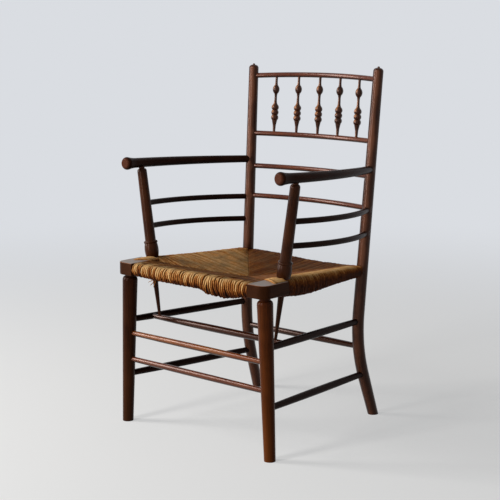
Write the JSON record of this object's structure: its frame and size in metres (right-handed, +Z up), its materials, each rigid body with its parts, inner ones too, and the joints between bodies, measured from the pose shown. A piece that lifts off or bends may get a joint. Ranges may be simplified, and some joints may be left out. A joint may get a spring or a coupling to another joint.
{
  "type": "armchair",
  "caption": "Turned wooden armchair with a woven rush seat, bowed back rails with beaded spindles, bowed arms on turned supports, and round stretchers between the legs.",
  "frame": {"origin": "on the floor, under the middle of the chair's box", "axes": "+Z up, +Y towards the back of the chair, +X to the right of someone who faces it"},
  "size_m": [0.5062, 0.486, 0.85],
  "materials": {
    "stained_wood": "dark reddish-brown stain with a worn satin polish",
    "rush": "twisted rush cord, straw gold where lit and browner with age",
    "rush_stuffing": "loose dry rush packed between the layers of the seat"
  },
  "bodies": {
    "root": {"arm_left": "stained_wood", "arm_right": "stained_wood", "arm_support_left": "stained_wood", "arm_support_right": "stained_wood", "back_post_left": "stained_wood", "back_post_right": "stained_wood", "back_rail_fourth": "stained_wood", "back_rail_second": "stained_wood", "back_rail_third": "stained_wood", "back_rail_top": "stained_wood", "front_leg_left": "stained_wood", "front_leg_right": "stained_wood", "rush_back": "rush", "rush_front": "rush", "rush_left": "rush", "rush_right": "rush", "seat_rail_back": "stained_wood", "seat_rail_front": "stained_wood", "seat_rail_left": "stained_wood", "seat_rail_right": "stained_wood", "side_rod_lower_left": "stained_wood", "side_rod_lower_right": "stained_wood", "side_rod_upper_left": "stained_wood", "side_rod_upper_right": "stained_wood", "spindle_1": "stained_wood", "spindle_2": "stained_wood", "spindle_3": "stained_wood", "spindle_4": "stained_wood", "spindle_5": "stained_wood", "stretcher_back": "stained_wood", "stretcher_cross": "stained_wood", "stretcher_front_lower": "stained_wood", "stretcher_front_upper": "stained_wood", "stretcher_lower_left": "stained_wood", "stretcher_lower_right": "stained_wood", "stretcher_upper_left": "stained_wood", "stretcher_upper_right": "stained_wood", "stuffing_back": "rush_stuffing", "stuffing_front": "rush_stuffing", "stuffing_left": "rush_stuffing", "stuffing_right": "rush_stuffing"}
  },
  "joints": []
}
